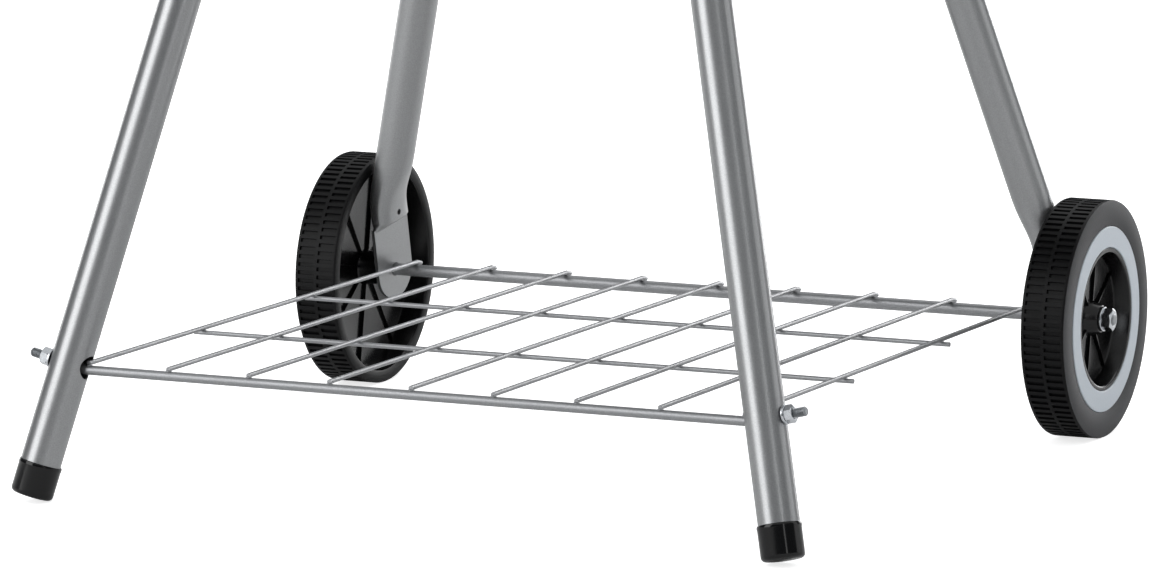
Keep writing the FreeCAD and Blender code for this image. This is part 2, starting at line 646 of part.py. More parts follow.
def lift_loop(name, x_side, height, radius):
    """A bent wire handle that stands up at one side of the cooking grate."""
    half = size("loop_half_span")
    wire = "Dims.loop_dia / 2"
    foot_x = x_side * (math.sqrt(radius ** 2 - half ** 2) - size("loop_inset"))
    lean = Vector(-x_side * size("loop_lean"), 0, size("loop_rise"))
    feet = [Vector(foot_x, -half, height), Vector(foot_x, half, height)]
    tops = [foot + lean for foot in feet]
    return [rod(f"{name}_a", wire, feet[0], tops[0]), rod(f"{name}_b", wire, feet[1], tops[1]),
            rod(f"{name}_c", wire, tops[0], tops[1]),
            ball(f"{name}_d", tops[0], wire), ball(f"{name}_e", tops[1], wire)]


GRILL_Z = size("grill_height")
COAL_Z = size("coal_height")
grill_bearers = (-size("grill_bearer"), size("grill_bearer"))
coal_bearers = (-size("coal_bearer"), size("coal_bearer"))
cooking = grate("cooking_base", GRILL_Z, "grill_radius", "grill_pitch", grill_bearers)
loops = lift_loop("loop_right", 1, GRILL_Z, size("grill_radius")) \
    + lift_loop("loop_left", -1, GRILL_Z, size("grill_radius"))
node(fuse("cooking_fused", [cooking] + loops), "cooking_grate")
node(grate("coal_fused", COAL_Z, "coal_radius", "coal_pitch", coal_bearers), "charcoal_grate")


def rests(name, height, radius):
    """Four tabs welded to the bowl's wall, just under a grate's ring."""
    foot = height - size("grate_ring_dia") / 2 - size("rest_gap") - size("tab_thick")
    inner = radius - size("tab_lap")
    # each tab runs a little into the sheet and is then cut back to it
    wall = bowl_radius(foot) - size("sheet_thick") + 0.4
    tabs = []
    for quarter in range(4):
        turn = Rotation(UP, 45 + 90 * quarter)
        place = Placement(turn.multVec(Vector(inner, -size("tab_width") / 2, foot)), turn)
        blank = solid("Box", f"{name}_blank_{quarter}", place, Width="Dims.tab_width", Height="Dims.tab_thick")
        blank.Length = wall - inner
        tabs.append(cut(f"{name}_{quarter}", blank, bowl_shell))
    return group(name, tabs)


node(rests("grill_tabs", GRILL_Z, size("grill_radius")), "cooking_grate_rests")
node(rests("coal_tabs", COAL_Z, size("coal_radius")), "charcoal_grate_rests")

# ---------------------------------------------------------------- bowl damper and ash pan


def dished(name, low_gap, high_gap, radius):
    """A disc pressed to follow the bowl's underside, with a gap under it."""
    outer = dome(size("rim_radius") + high_gap, size("bowl_depth") + high_gap, below_rim)
    inner = dome(size("rim_radius") + low_gap, size("bowl_depth") + low_gap, below_rim)
    column = Part.makeCylinder(radius, 2 * CLEAR_CUT, BOWL_FOOT - UP * CLEAR_CUT)
    return shape(name, outer.cut(inner).common(column))


GAP = size("damper_gap")
THICK = size("sheet_thick")
disc = dished("damper_disc", GAP, GAP + THICK, size("damper_radius"))
DISC_FOOT = BOWL_FOOT - UP * (GAP + THICK)
LEVER = "Dims.lever_dia / 2"
ARM_Z = DISC_FOOT.z - size("lever_drop")
arm_foot = Vector(0, 8 - size("damper_radius"), ARM_Z)
arm_end = Vector(0, -size("lever_reach"), ARM_Z)
knob_end = Vector(0, -size("knob_reach"), ARM_Z)
arm_tip = arm_end - Vector(0, size("knob_hold"), 0)
arm_post_top = arm_foot + UP * (size("lever_drop") + 3)
lever = fuse("damper_lever", [
    rod("arm_bar", LEVER, arm_foot, arm_tip),
    rod("arm_post", LEVER, arm_foot, arm_post_top),
    ball("arm_elbow", arm_foot, LEVER),
])
damper_hole = rod("damper_pivot_hole", "Dims.pivot_dia / 2 + Dims.pivot_clearance",
                  BOWL_FOOT - UP * CLEAR_CUT, BOWL_FOOT + UP * CLEAR_CUT)
lower_disc = cut("lower_disc", disc, damper_hole, *vents("damper_vent", BOWL_FOOT, UP))
node(fuse("bowl_damper", [lower_disc, lever]), "bowl_damper")
grip = rod("lever_grip", "Dims.knob_dia / 2", arm_end, knob_end)
grip_hole = rod("lever_grip_hole", LEVER, arm_end + Vector(0, CLEAR_CUT, 0), arm_tip)
node(cut("lever_knob", grip, grip_hole), "bowl_damper_grip")
sheet_top = BOWL_FOOT + UP * THICK
node(fuse("bowl_pivot", [
    rod("pivot_stem", "Dims.pivot_dia / 2", DISC_FOOT - UP, sheet_top + UP),
    rod("pivot_foot", "Dims.pivot_head_dia / 2", DISC_FOOT - UP * 2.5, DISC_FOOT - UP * 0.5),
    rod("pivot_top", "Dims.pivot_head_dia / 2", sheet_top + UP * 0.1, sheet_top + UP * 2),
]), "bowl_damper_pivot")

# two wires from leg to leg, welded where they cross
node(fuse("ash_cross", [
    ash_wire("ash_wire_a", on_front_leg(ASH_Z), flip(on_rear_leg(ASH_Z))),
    ash_wire("ash_wire_b", flip(on_front_leg(ASH_Z)), on_rear_leg(ASH_Z)),
]), "ash_pan_cross")
PAN_Z = ASH_Z + size("ash_wire_dia") / 2 + 0.05
pan_outer = solid("Cone", "pan_outer", Placement(Vector(0, 0, PAN_Z), Rotation()),
                  Radius1="Dims.ash_radius - Dims.ash_taper", Radius2="Dims.ash_radius",
                  Height="Dims.ash_depth")
pan_inner = solid("Cone", "pan_inner", Placement(Vector(0, 0, PAN_Z + THICK), Rotation()),
                  Radius1="Dims.ash_radius - Dims.ash_taper - Dims.sheet_thick",
                  Radius2="Dims.ash_radius - Dims.sheet_thick", Height="Dims.ash_depth")
pan_rim = solid("Torus", "pan_rim", Placement(Vector(0, 0, PAN_Z + size("ash_depth")), Rotation()),
                Radius1="Dims.ash_radius", Radius2="Dims.ash_bead_dia / 2")
node(fuse("ash_pan", [cut("pan_shell", pan_outer, pan_inner), pan_rim]), "ash_pan")


# ---------------------------------------------------------------- bowl handles

def side_handle(name, bar, face, way, span, reach):
    """A bowed rod: two stems standing off the sheet, and the bar between them."""
    cross = way.cross(UP).normalize()
    feet = [face + cross * (span / 2), face - cross * (span / 2)]
    outs = [foot + way * reach for foot in feet]
    inner = [foot - way * size("handle_root") for foot in feet]
    return fuse(name, [
        rod(f"{name}_stem_a", bar, inner[0], outs[0]), rod(f"{name}_stem_b", bar, inner[1], outs[1]),
        rod(f"{name}_bar", bar, outs[0], outs[1]),
        ball(f"{name}_bend_a", outs[0], bar), ball(f"{name}_bend_b", outs[1], bar),
    ])


HANDLE_Z = RIM_Z - size("handle_drop")
HANDLE_X = math.sqrt(bowl_radius(HANDLE_Z) ** 2 - (size("handle_span") / 2) ** 2)
handle_face = Vector(HANDLE_X, 0, HANDLE_Z)
handle_whole = side_handle("handle_whole", "Dims.handle_rod_dia / 2", handle_face, ACROSS,
                           size("handle_span"), size("handle_reach"))
handle_right = node(cut("handle_right", handle_whole, BOWL_OUTSIDE), "bowl_handle_right")
node(mirrored("handle_left", handle_right), "bowl_handle_left")
grip_x = HANDLE_X + size("handle_reach")
grip_half = size("handle_span") / 2 - size("grip_inset")
grip_blank = rod("grip_blank", "Dims.grip_dia / 2", Vector(grip_x, -grip_half, HANDLE_Z),
                 Vector(grip_x, grip_half, HANDLE_Z))
grip_bore = rod("grip_bore", "Dims.handle_rod_dia / 2", Vector(grip_x, -grip_half - 1, HANDLE_Z),
                Vector(grip_x, grip_half + 1, HANDLE_Z))
grip_right = node(cut("grip_right", grip_blank, grip_bore), "bowl_grip_right")
node(mirrored("grip_left", grip_right), "bowl_grip_left")

# ---------------------------------------------------------------- lid

LID_OUTSIDE = shape("lid_outside", dome(size("rim_radius"), size("lid_height"), above_rim))
lid_shell = shape("lid_shell", dome(size("rim_radius"), size("lid_height"), above_rim, size("sheet_thick")))
# a short skirt that hangs inside the bowl's rim, held to the lid's wall by a flat ring
skirt_r = size("rim_radius") - size("skirt_inset")
skirt_foot = Vector(0, 0, RIM_Z + size("skirt_inset") - size("skirt_height"))
join_foot = Vector(0, 0, LID_Z + size("bead_dia") / 2)
skirt_bore = Part.makeCylinder(skirt_r - THICK, 4 * CLEAR_CUT, Vector(0, 0, RIM_Z - 2 * CLEAR_CUT))
skirt_wall = Part.makeCylinder(skirt_r, join_foot.z + THICK + 1.5 - skirt_foot.z, skirt_foot)
skirt = shape("lid_skirt", skirt_wall.cut(skirt_bore))
join_plate = Part.makeCylinder(size("rim_radius") - 0.5, THICK, join_foot)
skirt_join = shape("skirt_join", join_plate.cut(skirt_bore))


def dome_point(radius):
    """A point on the lid's outside at a radius, towards the front, and its outward normal."""
    power = size("dome_power")
    ratio = radius / size("rim_radius")
    rise = size("lid_height") * (1 - ratio ** power) ** (1 / power)
    slope_r = ratio ** (power - 1) / size("rim_radius")
    slope_z = (rise / size("lid_height")) ** (power - 1) / size("lid_height")
    return Vector(0, -radius, LID_Z + rise), Vector(0, -slope_r, slope_z).normalize()


def bolt(name, radius, low, high, centre):
    """An upright round bar between two heights, over a point of the ground plan."""
    return rod(name, radius, Vector(centre.x, centre.y, low), Vector(centre.x, centre.y, high))


SCREW = "Dims.screw_dia / 2"
SIDES = ((1, "right"), (-1, "left"))
vent_at, vent_way = dome_point(size("lid_vent_out"))
post_at = {side: ACROSS * (side * size("post_span") / 2) for side, _ in SIDES}
post_holes = [bolt(f"post_hole_{word}", SCREW, LID_CROWN - 2 * CLEAR_CUT, LID_CROWN + CLEAR_CUT, post_at[side])
              for side, word in SIDES]
lid_pivot_hole = rod("lid_pivot_hole", SCREW, vent_at - vent_way * CLEAR_CUT, vent_at + vent_way * CLEAR_CUT)
lid_whole = fuse("lid_whole", [lid_shell, bead("lid_bead", LID_Z), skirt, skirt_join])
node(cut("lid", lid_whole, lid_pivot_hole, *post_holes, *vents("lid_vent", vent_at, vent_way)), "lid")

disc_base = vent_at + vent_way * size("lid_disc_lift")
pull_place = along(vent_way, disc_base).multiply(
    Placement(Vector(-size("pull_width") / 2, -size("tab_reach"), 0), Rotation()))
upper_blank = solid("Cylinder", "upper_blank", along(vent_way, disc_base),
                    Radius="Dims.damper_radius - Dims.lid_disc_inset", Height="Dims.sheet_thick")
upper_tab = solid("Box", "upper_tab", pull_place,
                  Length="Dims.pull_width", Width="Dims.pull_length", Height="Dims.sheet_thick")
upper_pull = solid("Box", "upper_pull", pull_place,
                   Length="Dims.pull_width", Width="Dims.sheet_thick", Height="Dims.pull_rise")
upper_hole = rod("upper_hole", "Dims.screw_dia / 2 + Dims.pivot_clearance",
                 disc_base - vent_way * CLEAR_CUT, disc_base + vent_way * CLEAR_CUT)
upper_disc = cut("upper_disc", fuse("upper_parts", [upper_blank, upper_tab, upper_pull]), upper_hole,
                 *vents("upper_vent", disc_base, vent_way))
node(upper_disc, "lid_damper")
HEAD = "Dims.lid_head_dia / 2"
node(fuse("lid_pivot", [
    rod("lid_stem", SCREW, vent_at - vent_way * 3.5, disc_base + vent_way * 2),
    rod("lid_stem_foot", HEAD, vent_at - vent_way * 3.5, vent_at - vent_way * 1.8),
    rod("lid_stem_collar", HEAD, vent_at, disc_base - vent_way * 0.3),
    rod("lid_stem_head", HEAD, disc_base + vent_way * 1.5, disc_base + vent_way * 3.5),
]), "lid_damper_pivot")

# the grip is a bow of moulded plastic on two posts, screwed from inside through a heat shield
HANDLE_BASE = dome_point(size("post_span") / 2)[0].z + size("post_sink")
BOW_Z = HANDLE_BASE + size("post_rise")
SCREW_TOP = HANDLE_BASE + size("screw_reach")
SHIELD_Z = HANDLE_BASE - THICK - size("shield_gap")
bow_end = Vector(size("post_span") / 2 + size("bow_overhang"), 0, BOW_Z)
bow = rod("bow", "Dims.bow_dia / 2", flip(bow_end), bow_end)
bow_ends = [ball("bow_end_right", bow_end, "Dims.bow_dia / 2"),
            ball("bow_end_left", flip(bow_end), "Dims.bow_dia / 2")]
posts = []
handle_bores = []
shield_holes = []
screws = []
for side, word in SIDES:
    centre = post_at[side]
    posts.append(solid("Cone", f"post_{word}", Placement(centre + UP * HANDLE_BASE, Rotation()),
                       Radius1="Dims.post_foot_dia / 2", Radius2="Dims.post_top_dia / 2",
                       Height="Dims.post_rise"))
    handle_bores.append(bolt(f"handle_bore_{word}", SCREW, HANDLE_BASE - CLEAR_CUT, SCREW_TOP, centre))
    shield_holes.append(bolt(f"shield_hole_{word}", SCREW, SHIELD_Z - CLEAR_CUT, SHIELD_Z + CLEAR_CUT, centre))
    screws.append(fuse(f"lid_screw_{word}", [
        bolt(f"screw_shank_{word}", SCREW, SHIELD_Z, SCREW_TOP, centre),
        bolt(f"screw_head_{word}", "Dims.shield_head_dia / 2", SHIELD_Z - size("shield_head_thick"), SHIELD_Z,
             centre)]))
handle_body = fuse("lid_handle_body", posts + [bow] + bow_ends)
node(cut("lid_handle_cut", handle_body, LID_OUTSIDE, *handle_bores), "lid_handle")
shield_corner = Vector(-size("shield_length") / 2, -size("shield_width") / 2, SHIELD_Z)
shield = solid("Box", "shield_plate", Placement(shield_corner, Rotation()),
               Length="Dims.shield_length", Width="Dims.shield_width", Height="Dims.sheet_thick")
node(cut("shield", shield, *shield_holes), "lid_heat_shield")
node(group("lid_screws", screws), "lid_handle_screws")

# ---------------------------------------------------------------- check and write

doc.recompute()
for item in doc.Objects:
    if "Invalid" in item.State or "Error" in item.State:
        raise RuntimeError(f"{item.Name} failed: {item.State}")
# from the bowl's axis to the middle between the lid's front edge and the wheels' back
FRONT_EDGE = size("rim_radius") - THICK / 2 + size("bead_dia") / 2
TO_MIDDLE = Vector(0, (FRONT_EDGE - AXLE_Y - WHEEL_R) / 2, 0)
os.makedirs("parts", exist_ok=True)
for item in NODES:
    made = item.Shape.translated(TO_MIDDLE)
    if made.isNull() or not made.isValid():
        raise RuntimeError(f"{item.Label} has no valid shape")
    made.exportStep(f"parts/{item.Label}.step")
    box = made.optimalBoundingBox()
    low = ", ".join(f"{value:.1f}" for value in (box.XMin, box.YMin, box.ZMin))
    high = ", ".join(f"{value:.1f}" for value in (box.XMax, box.YMax, box.ZMax))
    print(f"{item.Label}: {len(made.Solids)} solid(s), {made.Volume / 1000:.1f} cm3, {low} to {high}")
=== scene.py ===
# %% [markdown]
# # A kettle charcoal grill, finished in Blender
#
# The grill's legs, bowl, lid, handles and grates come from the CAD model at their real size.
# This lesson gives them their finishes and remakes the pieces whose small shapes the CAD
# leaves out: the wheels with their moulded tread, the threaded rod and axle with their nuts
# and washers, the foot caps, and the welds of the shelf. Lengths in the text are in
# millimetres, and Blender works in metres.

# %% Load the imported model
import json
import math

import bmesh
import bpy
from mathutils import Matrix, Vector


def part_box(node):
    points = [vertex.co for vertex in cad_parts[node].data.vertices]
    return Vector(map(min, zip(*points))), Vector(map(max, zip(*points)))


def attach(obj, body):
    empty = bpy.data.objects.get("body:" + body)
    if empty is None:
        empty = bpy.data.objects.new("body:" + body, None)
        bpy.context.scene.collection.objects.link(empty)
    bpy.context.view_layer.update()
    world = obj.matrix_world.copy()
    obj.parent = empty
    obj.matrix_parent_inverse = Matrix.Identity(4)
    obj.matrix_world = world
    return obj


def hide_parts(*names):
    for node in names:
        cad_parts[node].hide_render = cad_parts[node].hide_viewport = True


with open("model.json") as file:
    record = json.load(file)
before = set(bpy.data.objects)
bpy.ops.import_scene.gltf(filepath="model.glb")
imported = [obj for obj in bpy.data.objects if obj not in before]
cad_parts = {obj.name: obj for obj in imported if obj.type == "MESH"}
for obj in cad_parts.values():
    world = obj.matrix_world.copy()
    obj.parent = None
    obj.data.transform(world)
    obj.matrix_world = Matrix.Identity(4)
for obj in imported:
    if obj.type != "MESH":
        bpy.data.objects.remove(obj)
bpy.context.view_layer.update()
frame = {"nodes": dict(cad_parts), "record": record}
MM = 0.001

# %% [markdown]
# Blender's operators act on whatever is selected, and a freshly imported model is selected
# all over. So each step starts by selecting nothing, and each piece is picked alone. The
# measurements come from the CAD nodes: `side_box` gives the box of the half of a node that
# lies on one side of the grill, which is how one nut of a pair is found.

# %% Picking and measuring
def pick(*pieces):
    """Selects only these pieces, and makes the first one active."""
    if bpy.context.object and bpy.context.object.mode != "OBJECT":
        bpy.ops.object.mode_set(mode="OBJECT")
    bpy.ops.object.select_all(action="DESELECT")
    for piece in pieces:
        piece.select_set(True)
        bpy.context.view_layer.objects.active = pieces[0]


def middle(corners):
    return (corners[0] + corners[1]) / 2


def facing(way):
    """The turn that points a piece's own Z along a direction."""
    return way.to_track_quat("Z", "Y").to_matrix().to_4x4()


def side_box(node, side):
    """The box of a node's points right (1) or left (-1) of the middle plane."""
    points = [v.co for v in frame["nodes"][node].data.vertices if v.co.x * side > 0]
    low = Vector([min(p[axis] for p in points) for axis in range(3)])
    high = Vector([max(p[axis] for p in points) for axis in range(3)])
    return low, high


pick()
BOWL_AXIS = middle(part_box("bowl"))
WHEEL = side_box("wheel_right", 1)
AXLE = middle(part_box("axle"))
print("bowl axis y", round(BOWL_AXIS.y, 4), "axle", [round(v, 4) for v in AXLE])

# %% [markdown]
# ## Camera
#
# A long lens from nearly five metres away looks slightly down at the shelf and wheels, from
# the right of the front. A camera is easiest to place by what it looks at: an aim point, two
# angles and a distance.

# %% Camera
AIM = Vector((0.0240, BOWL_AXIS.y - 0.0352, 0.1230))
TURN, TILT, ROLL = math.radians(24.46), math.radians(9.079), math.radians(-0.041)
DISTANCE, LENS, SENSOR, FAR_END = 5.0, 249.5, 36.0, 60

away = Vector((math.sin(TURN) * math.cos(TILT), -math.cos(TURN) * math.cos(TILT), math.sin(TILT)))
right = Vector((math.cos(TURN), math.sin(TURN), 0))
up = away.cross(right)
camera = bpy.data.objects.new("camera", bpy.data.cameras.new("camera"))
bpy.context.scene.collection.objects.link(camera)
turned = (right * math.cos(ROLL) + up * math.sin(ROLL),
          up * math.cos(ROLL) - right * math.sin(ROLL),
          away)
camera.matrix_world = Matrix.Translation(AIM + away * DISTANCE) @ Matrix(turned).transposed().to_4x4()
camera.data.sensor_width, camera.data.lens = SENSOR, LENS
camera.data.clip_end = FAR_END
bpy.context.scene.camera = camera
print("camera at", [round(v, 3) for v in camera.location])

# %% [markdown]
# ## Studio
#
# Metal paint has no look of its own: it shows what surrounds it. A tall soft light on the
# left gives the tubes their broad bright stripe, a narrow one near the camera gives the thin
# stripe in the middle, a third on the right lights the wheel's face, and the dim room between
# them makes the dark bands. Two tall lights behind the grill draw the bright edges. The floor
# is a pale sheet lit by a wide overhead sun.

# %% Floor and world
FLOOR_FRONT, FLOOR_BACK, FLOOR_HALF = -1.9, 12.0, 9.0
ROOM_TINT, ROOM_STRENGTH = (0.90, 0.95, 1.0, 1), 0.16

scene = bpy.context.scene
scene.view_settings.view_transform = "Standard"
world = bpy.data.worlds.new("studio")
scene.world = world
world.use_nodes = True
room = world.node_tree.nodes["Background"]
room.inputs["Color"].default_value = ROOM_TINT
room.inputs["Strength"].default_value = ROOM_STRENGTH

bpy.ops.mesh.primitive_plane_add(size=2, location=(0, 0, 0))
floor = bpy.context.object
floor.name = "floor"
floor.scale = (FLOOR_HALF, (FLOOR_BACK - FLOOR_FRONT) / 2, 1)
floor.location = (0, (FLOOR_BACK + FLOOR_FRONT) / 2, 0)
bpy.ops.object.transform_apply(location=True, rotation=True, scale=True)


# %% Lights
LIT_HEIGHT = 0.3


def soft_light(name, bearing, height, distance, width, tall, watts):
    """A rectangular light aimed at the grill. The bearing is in degrees right of the camera."""
    angle = TURN + math.radians(bearing)
    target = Vector((0, 0, LIT_HEIGHT))
    place = Vector((math.sin(angle) * distance, -math.cos(angle) * distance, height))
    light = bpy.data.lights.new(name, "AREA")
    light.shape, light.size, light.size_y = "RECTANGLE", width, tall
    light.energy = watts
    lamp = bpy.data.objects.new(name, light)
    scene.collection.objects.link(lamp)
    lamp.matrix_world = Matrix.Translation(place) @ facing(place - target)


soft_light("left_softbox", -60, 1.1, 3.0, 2.0, 2.6, 50)
soft_light("middle_strip", 22, 0.9, 3.6, 0.3, 2.0, 5)
soft_light("right_softbox", 88, 1.0, 3.2, 1.6, 2.4, 11)
soft_light("top_softbox", 150, 3.4, 2.6, 2.4, 2.4, 20)
soft_light("left_edge_light", -146, 0.9, 4.0, 1.2, 2.6, 30)
soft_light("right_edge_light", 142, 0.9, 4.0, 1.2, 2.6, 55)
SUN_STRENGTH, SUN_SPREAD = 1.5, math.radians(120)
sun = bpy.data.objects.new("overhead", bpy.data.lights.new("overhead", "SUN"))
sun.data.energy, sun.data.angle = SUN_STRENGTH, SUN_SPREAD
sun.location = (0, 0, 5)
scene.collection.objects.link(sun)

# %% [markdown]
# ## Finishes
#
# A material here is one Principled shader whose colour, roughness and bump come from noise in
# object coordinates, so that each pattern has a real size in millimetres and stays put when
# a piece moves. `add` adds one node with its settings and its inputs, and an input is either
# a value or another node's output.

# %% Material tools
def linear(hex_code):
    """An sRGB hex colour as the linear colour that shaders use."""
    parts = [int(hex_code[i:i + 2], 16) / 255 for i in (1, 3, 5)]
    return tuple(p / 12.92 if p <= 0.04045 else ((p + 0.055) / 1.055) ** 2.4 for p in parts) + (1.0,)


def add(tree, kind, inputs=(), **settings):
    """Adds a shader node. Inputs is a dict of socket name or number to value or output."""
    node = tree.nodes.new(kind)
    for key, value in settings.items():
        setattr(node, key, value)
    for key, value in dict(inputs).items():
        if isinstance(value, bpy.types.NodeSocket):
            tree.links.new(value, node.inputs[key])
        else:
            node.inputs[key].default_value = value
    return node


def per_metre(size_mm):
    """The texture scale that gives a pattern this size, in object coordinates."""
    return 1 / (size_mm * MM)


PATCH_MM = 45     # how wide the areas are that are a little smoother or rougher
RELIEF = 0.0002   # how far a bump stands out at full strength


def material(name, dark, light, roughness, grain_mm, bump_mm, bump=0.1, spread=0.06, **constants):
    """A finish whose colour runs between two tones with its grain, over a soft bump."""
    made = bpy.data.materials.new(name)
    made.use_nodes = True
    tree = made.node_tree
    shader = tree.nodes["Principled BSDF"]
    place = add(tree, "ShaderNodeTexCoord").outputs["Object"]
    grain = add(tree, "ShaderNodeTexNoise", {"Vector": place, "Scale": per_metre(grain_mm), "Detail": 3.0})
    tone = add(tree, "ShaderNodeMix", {0: grain.outputs[0], 6: linear(dark), 7: linear(light)},
               data_type="RGBA")
    patches = add(tree, "ShaderNodeTexNoise",
                  {"Vector": place, "Scale": per_metre(PATCH_MM), "Detail": 2.0})
    rough = add(tree, "ShaderNodeMapRange",
                {"Value": patches.outputs[0], "To Min": roughness - spread, "To Max": roughness + spread})
    relief = add(tree, "ShaderNodeTexNoise", {"Vector": place, "Scale": per_metre(bump_mm), "Detail": 2.0})
    height = add(tree, "ShaderNodeBump",
                 {"Strength": bump, "Distance": RELIEF, "Height": relief.outputs[0]})
    tree.links.new(tone.outputs[2], shader.inputs["Base Color"])
    tree.links.new(rough.outputs[0], shader.inputs["Roughness"])
    tree.links.new(height.outputs[0], shader.inputs["Normal"])
    for key, value in constants.items():
        shader.inputs[key.replace("_", " ")].default_value = value
    return made


def paint(name, finish):
    """Gives a CAD node its finish."""
    slots = frame["nodes"][name].data.materials
    slots.clear()
    slots.append(finish)


# %% [markdown]
# The legs wear a silver powder coat: clear polyester powder with aluminium flakes, sprayed
# dry and baked. It is satin, and the flakes make it reflect like a soft metal with a slight
# orange peel. Real flakes are 0.05 mm, too fine to show, so the speckle is drawn at 0.7 mm.

# %% Silver powder coat
silver_coat = material("silver_powder_coat", "#8B8C8D", "#B2B3B4", 0.34, 0.7, 3.0, bump=0.08, spread=0.03,
                       Metallic=0.85)
wire_coat = material("silver_coated_wire", "#858688", "#A6A7A9", 0.42, 1.2, 2.0, bump=0.15, Metallic=0.8)

# %% [markdown]
# Nuts and washers are bright zinc plate: a thin electroplated layer, blank and a
# little blue, that follows the machined steel under it. The threads are bare cut steel.

# %% Zinc plate
zinc = material("zinc_plate", "#B9BCC0", "#D6D9DC", 0.22, 1.5, 1.0, bump=0.2, Metallic=1.0)
cut_steel = material("cut_steel", "#7E8184", "#9C9FA2", 0.36, 0.8, 0.6, bump=0.35, Metallic=1.0)

# %% [markdown]
# The wheels are blow-moulded polyethylene, black right through. The mould is polished in the
# hub, which comes out glossy, and spark-eroded on the tread and side wall, where the fine
# texture scatters light. The side wall's dark grey colour is painted sheen on the same black
# plastic, and the inside of the wheel takes the hub's polished black as painted shade. The pale
# ring is a moulded polypropylene disc pressed into the side.

# %% Wheel plastics
tread_black = material("moulded_black_satin", "#060607", "#0E0E0F", 0.46, 2.0, 0.8, bump=0.25, spread=0.05,
                       Specular_IOR_Level=0.16)
# painted sheen: the side wall is the same black plastic, coloured lighter grey where its texture catches
# light
side_wall_painted_sheen = material("eroded_black_painted_sheen", "#2B2B2D", "#333336", 0.58, 0.9, 0.7, bump=0.5, spread=0.05)
# polished black for the hub, also put on the whole inside of the wheel as painted shade
hub_black_and_painted_shade = material("polished_black_and_painted_shade", "#040405", "#0A0A0B", 0.20, 3.0, 5.0, bump=0.06, spread=0.04,
                     Specular_IOR_Level=0.35)
ring_grey = material("pale_ring_plastic", "#BEC6CE", "#C8D0D7", 0.42, 1.5, 0.9, bump=0.12, spread=0.04)

# %% [markdown]
# The foot caps are soft PVC, dipped and glossy. The bowl and lid are porcelain enamel: glass
# fused on steel, deep black and wet-looking, with a faint ripple from the firing. Grates are
# nickel-chrome plated wire, the ash pan and dampers are rolled aluminium, and the handles are
# heat-proof nylon with a fine moulded grain. The studio floor glows where the camera sees it,
# so that it reads as white, and hardly at all in reflections.

# %% Other finishes
cap_vinyl = material("soft_vinyl_gloss", "#020203", "#070708", 0.13, 3.0, 6.0, bump=0.02, spread=0.04,
                     Specular_IOR_Level=0.35)
enamel = material("porcelain_enamel", "#060607", "#0C0C0D", 0.10, 4.0, 9.0, bump=0.10, spread=0.03,
                  Coat_Weight=0.6, Coat_Roughness=0.04)
plated_wire = material("nickel_chrome_wire", "#A3A4A4", "#C2C1BE", 0.20, 3.0, 2.0, bump=0.12, Metallic=1.0)
pan_sheet = material("rolled_aluminium", "#9A9DA0", "#B5B8BA", 0.36, 1.2, 1.6, bump=0.12, Metallic=1.0)
handle_nylon = material("heatproof_nylon", "#0D0D0E", "#19191B", 0.42, 1.0, 0.7, bump=0.3, spread=0.05)
floor_white = material("studio_floor", "#ECECEC", "#EFEFEF", 0.75, 900, 400, bump=0.0)
GLOW_REFLECTED, GLOW_SEEN = 0.02, 0.75
floor_tree = floor_white.node_tree
floor_shader = floor_tree.nodes["Principled BSDF"]
seen = add(floor_tree, "ShaderNodeLightPath").outputs["Is Camera Ray"]
glow = add(floor_tree, "ShaderNodeMapRange", {"Value": seen, "To Min": GLOW_REFLECTED, "To Max": GLOW_SEEN})
floor_shader.inputs["Emission Color"].default_value = (1, 1, 1, 1)
floor_tree.links.new(glow.outputs[0], floor_shader.inputs["Emission Strength"])
floor.data.materials.append(floor_white)

FINISHES = {
    "leg_paint": silver_coat, "shelf_coat": wire_coat, "zinc": zinc, "cap_plastic": cap_vinyl,
    "wheel_plastic": tread_black, "ring_plastic": ring_grey, "enamel": enamel,
    "grate_plate": plated_wire, "pan_metal": pan_sheet, "grip_plastic": handle_nylon,
}
for part in frame["record"]["subparts"]:
    paint(part["node"], FINISHES[part["material_slot"]])
print("finishes:", len(bpy.data.materials))

# %% [markdown]
# ## Modelling tools
#
# Round pieces are drawn out of a circle: the ring of edges is extruded, moved and scaled
# again and again through the points of an outline, as on a lathe. Where the outline returns
# to its start, the doubled ring is merged and the shell is closed.

# %% Turned pieces
POLE = 1e-4     # a turned piece's pole, in millimetres, before its points are merged
WELD = 2e-6     # points closer than this, in metres, are one


def open_edit(piece, kind):
    """Opens a piece in edit mode with nothing selected."""
    pick(piece)
    bpy.ops.object.mode_set(mode="EDIT")
    bpy.ops.mesh.select_mode(type=kind)
    bpy.ops.mesh.select_all(action="DESELECT")


def choose(piece, test):
    """Selects the faces whose centre and normal pass a test."""
    mesh = bmesh.from_edit_mesh(piece.data)
    for face in mesh.faces:
        face.select_set(bool(test(face.calc_center_median(), face.normal)))
    bmesh.update_edit_mesh(piece.data)


def tidy(piece):
    """Merges doubled points, turns the faces outwards and closes edit mode."""
    bpy.ops.mesh.select_all(action="SELECT")
    bpy.ops.mesh.remove_doubles(threshold=WELD)
    bpy.ops.mesh.normals_make_consistent(inside=False)
    bpy.ops.object.mode_set(mode="OBJECT")
    return piece


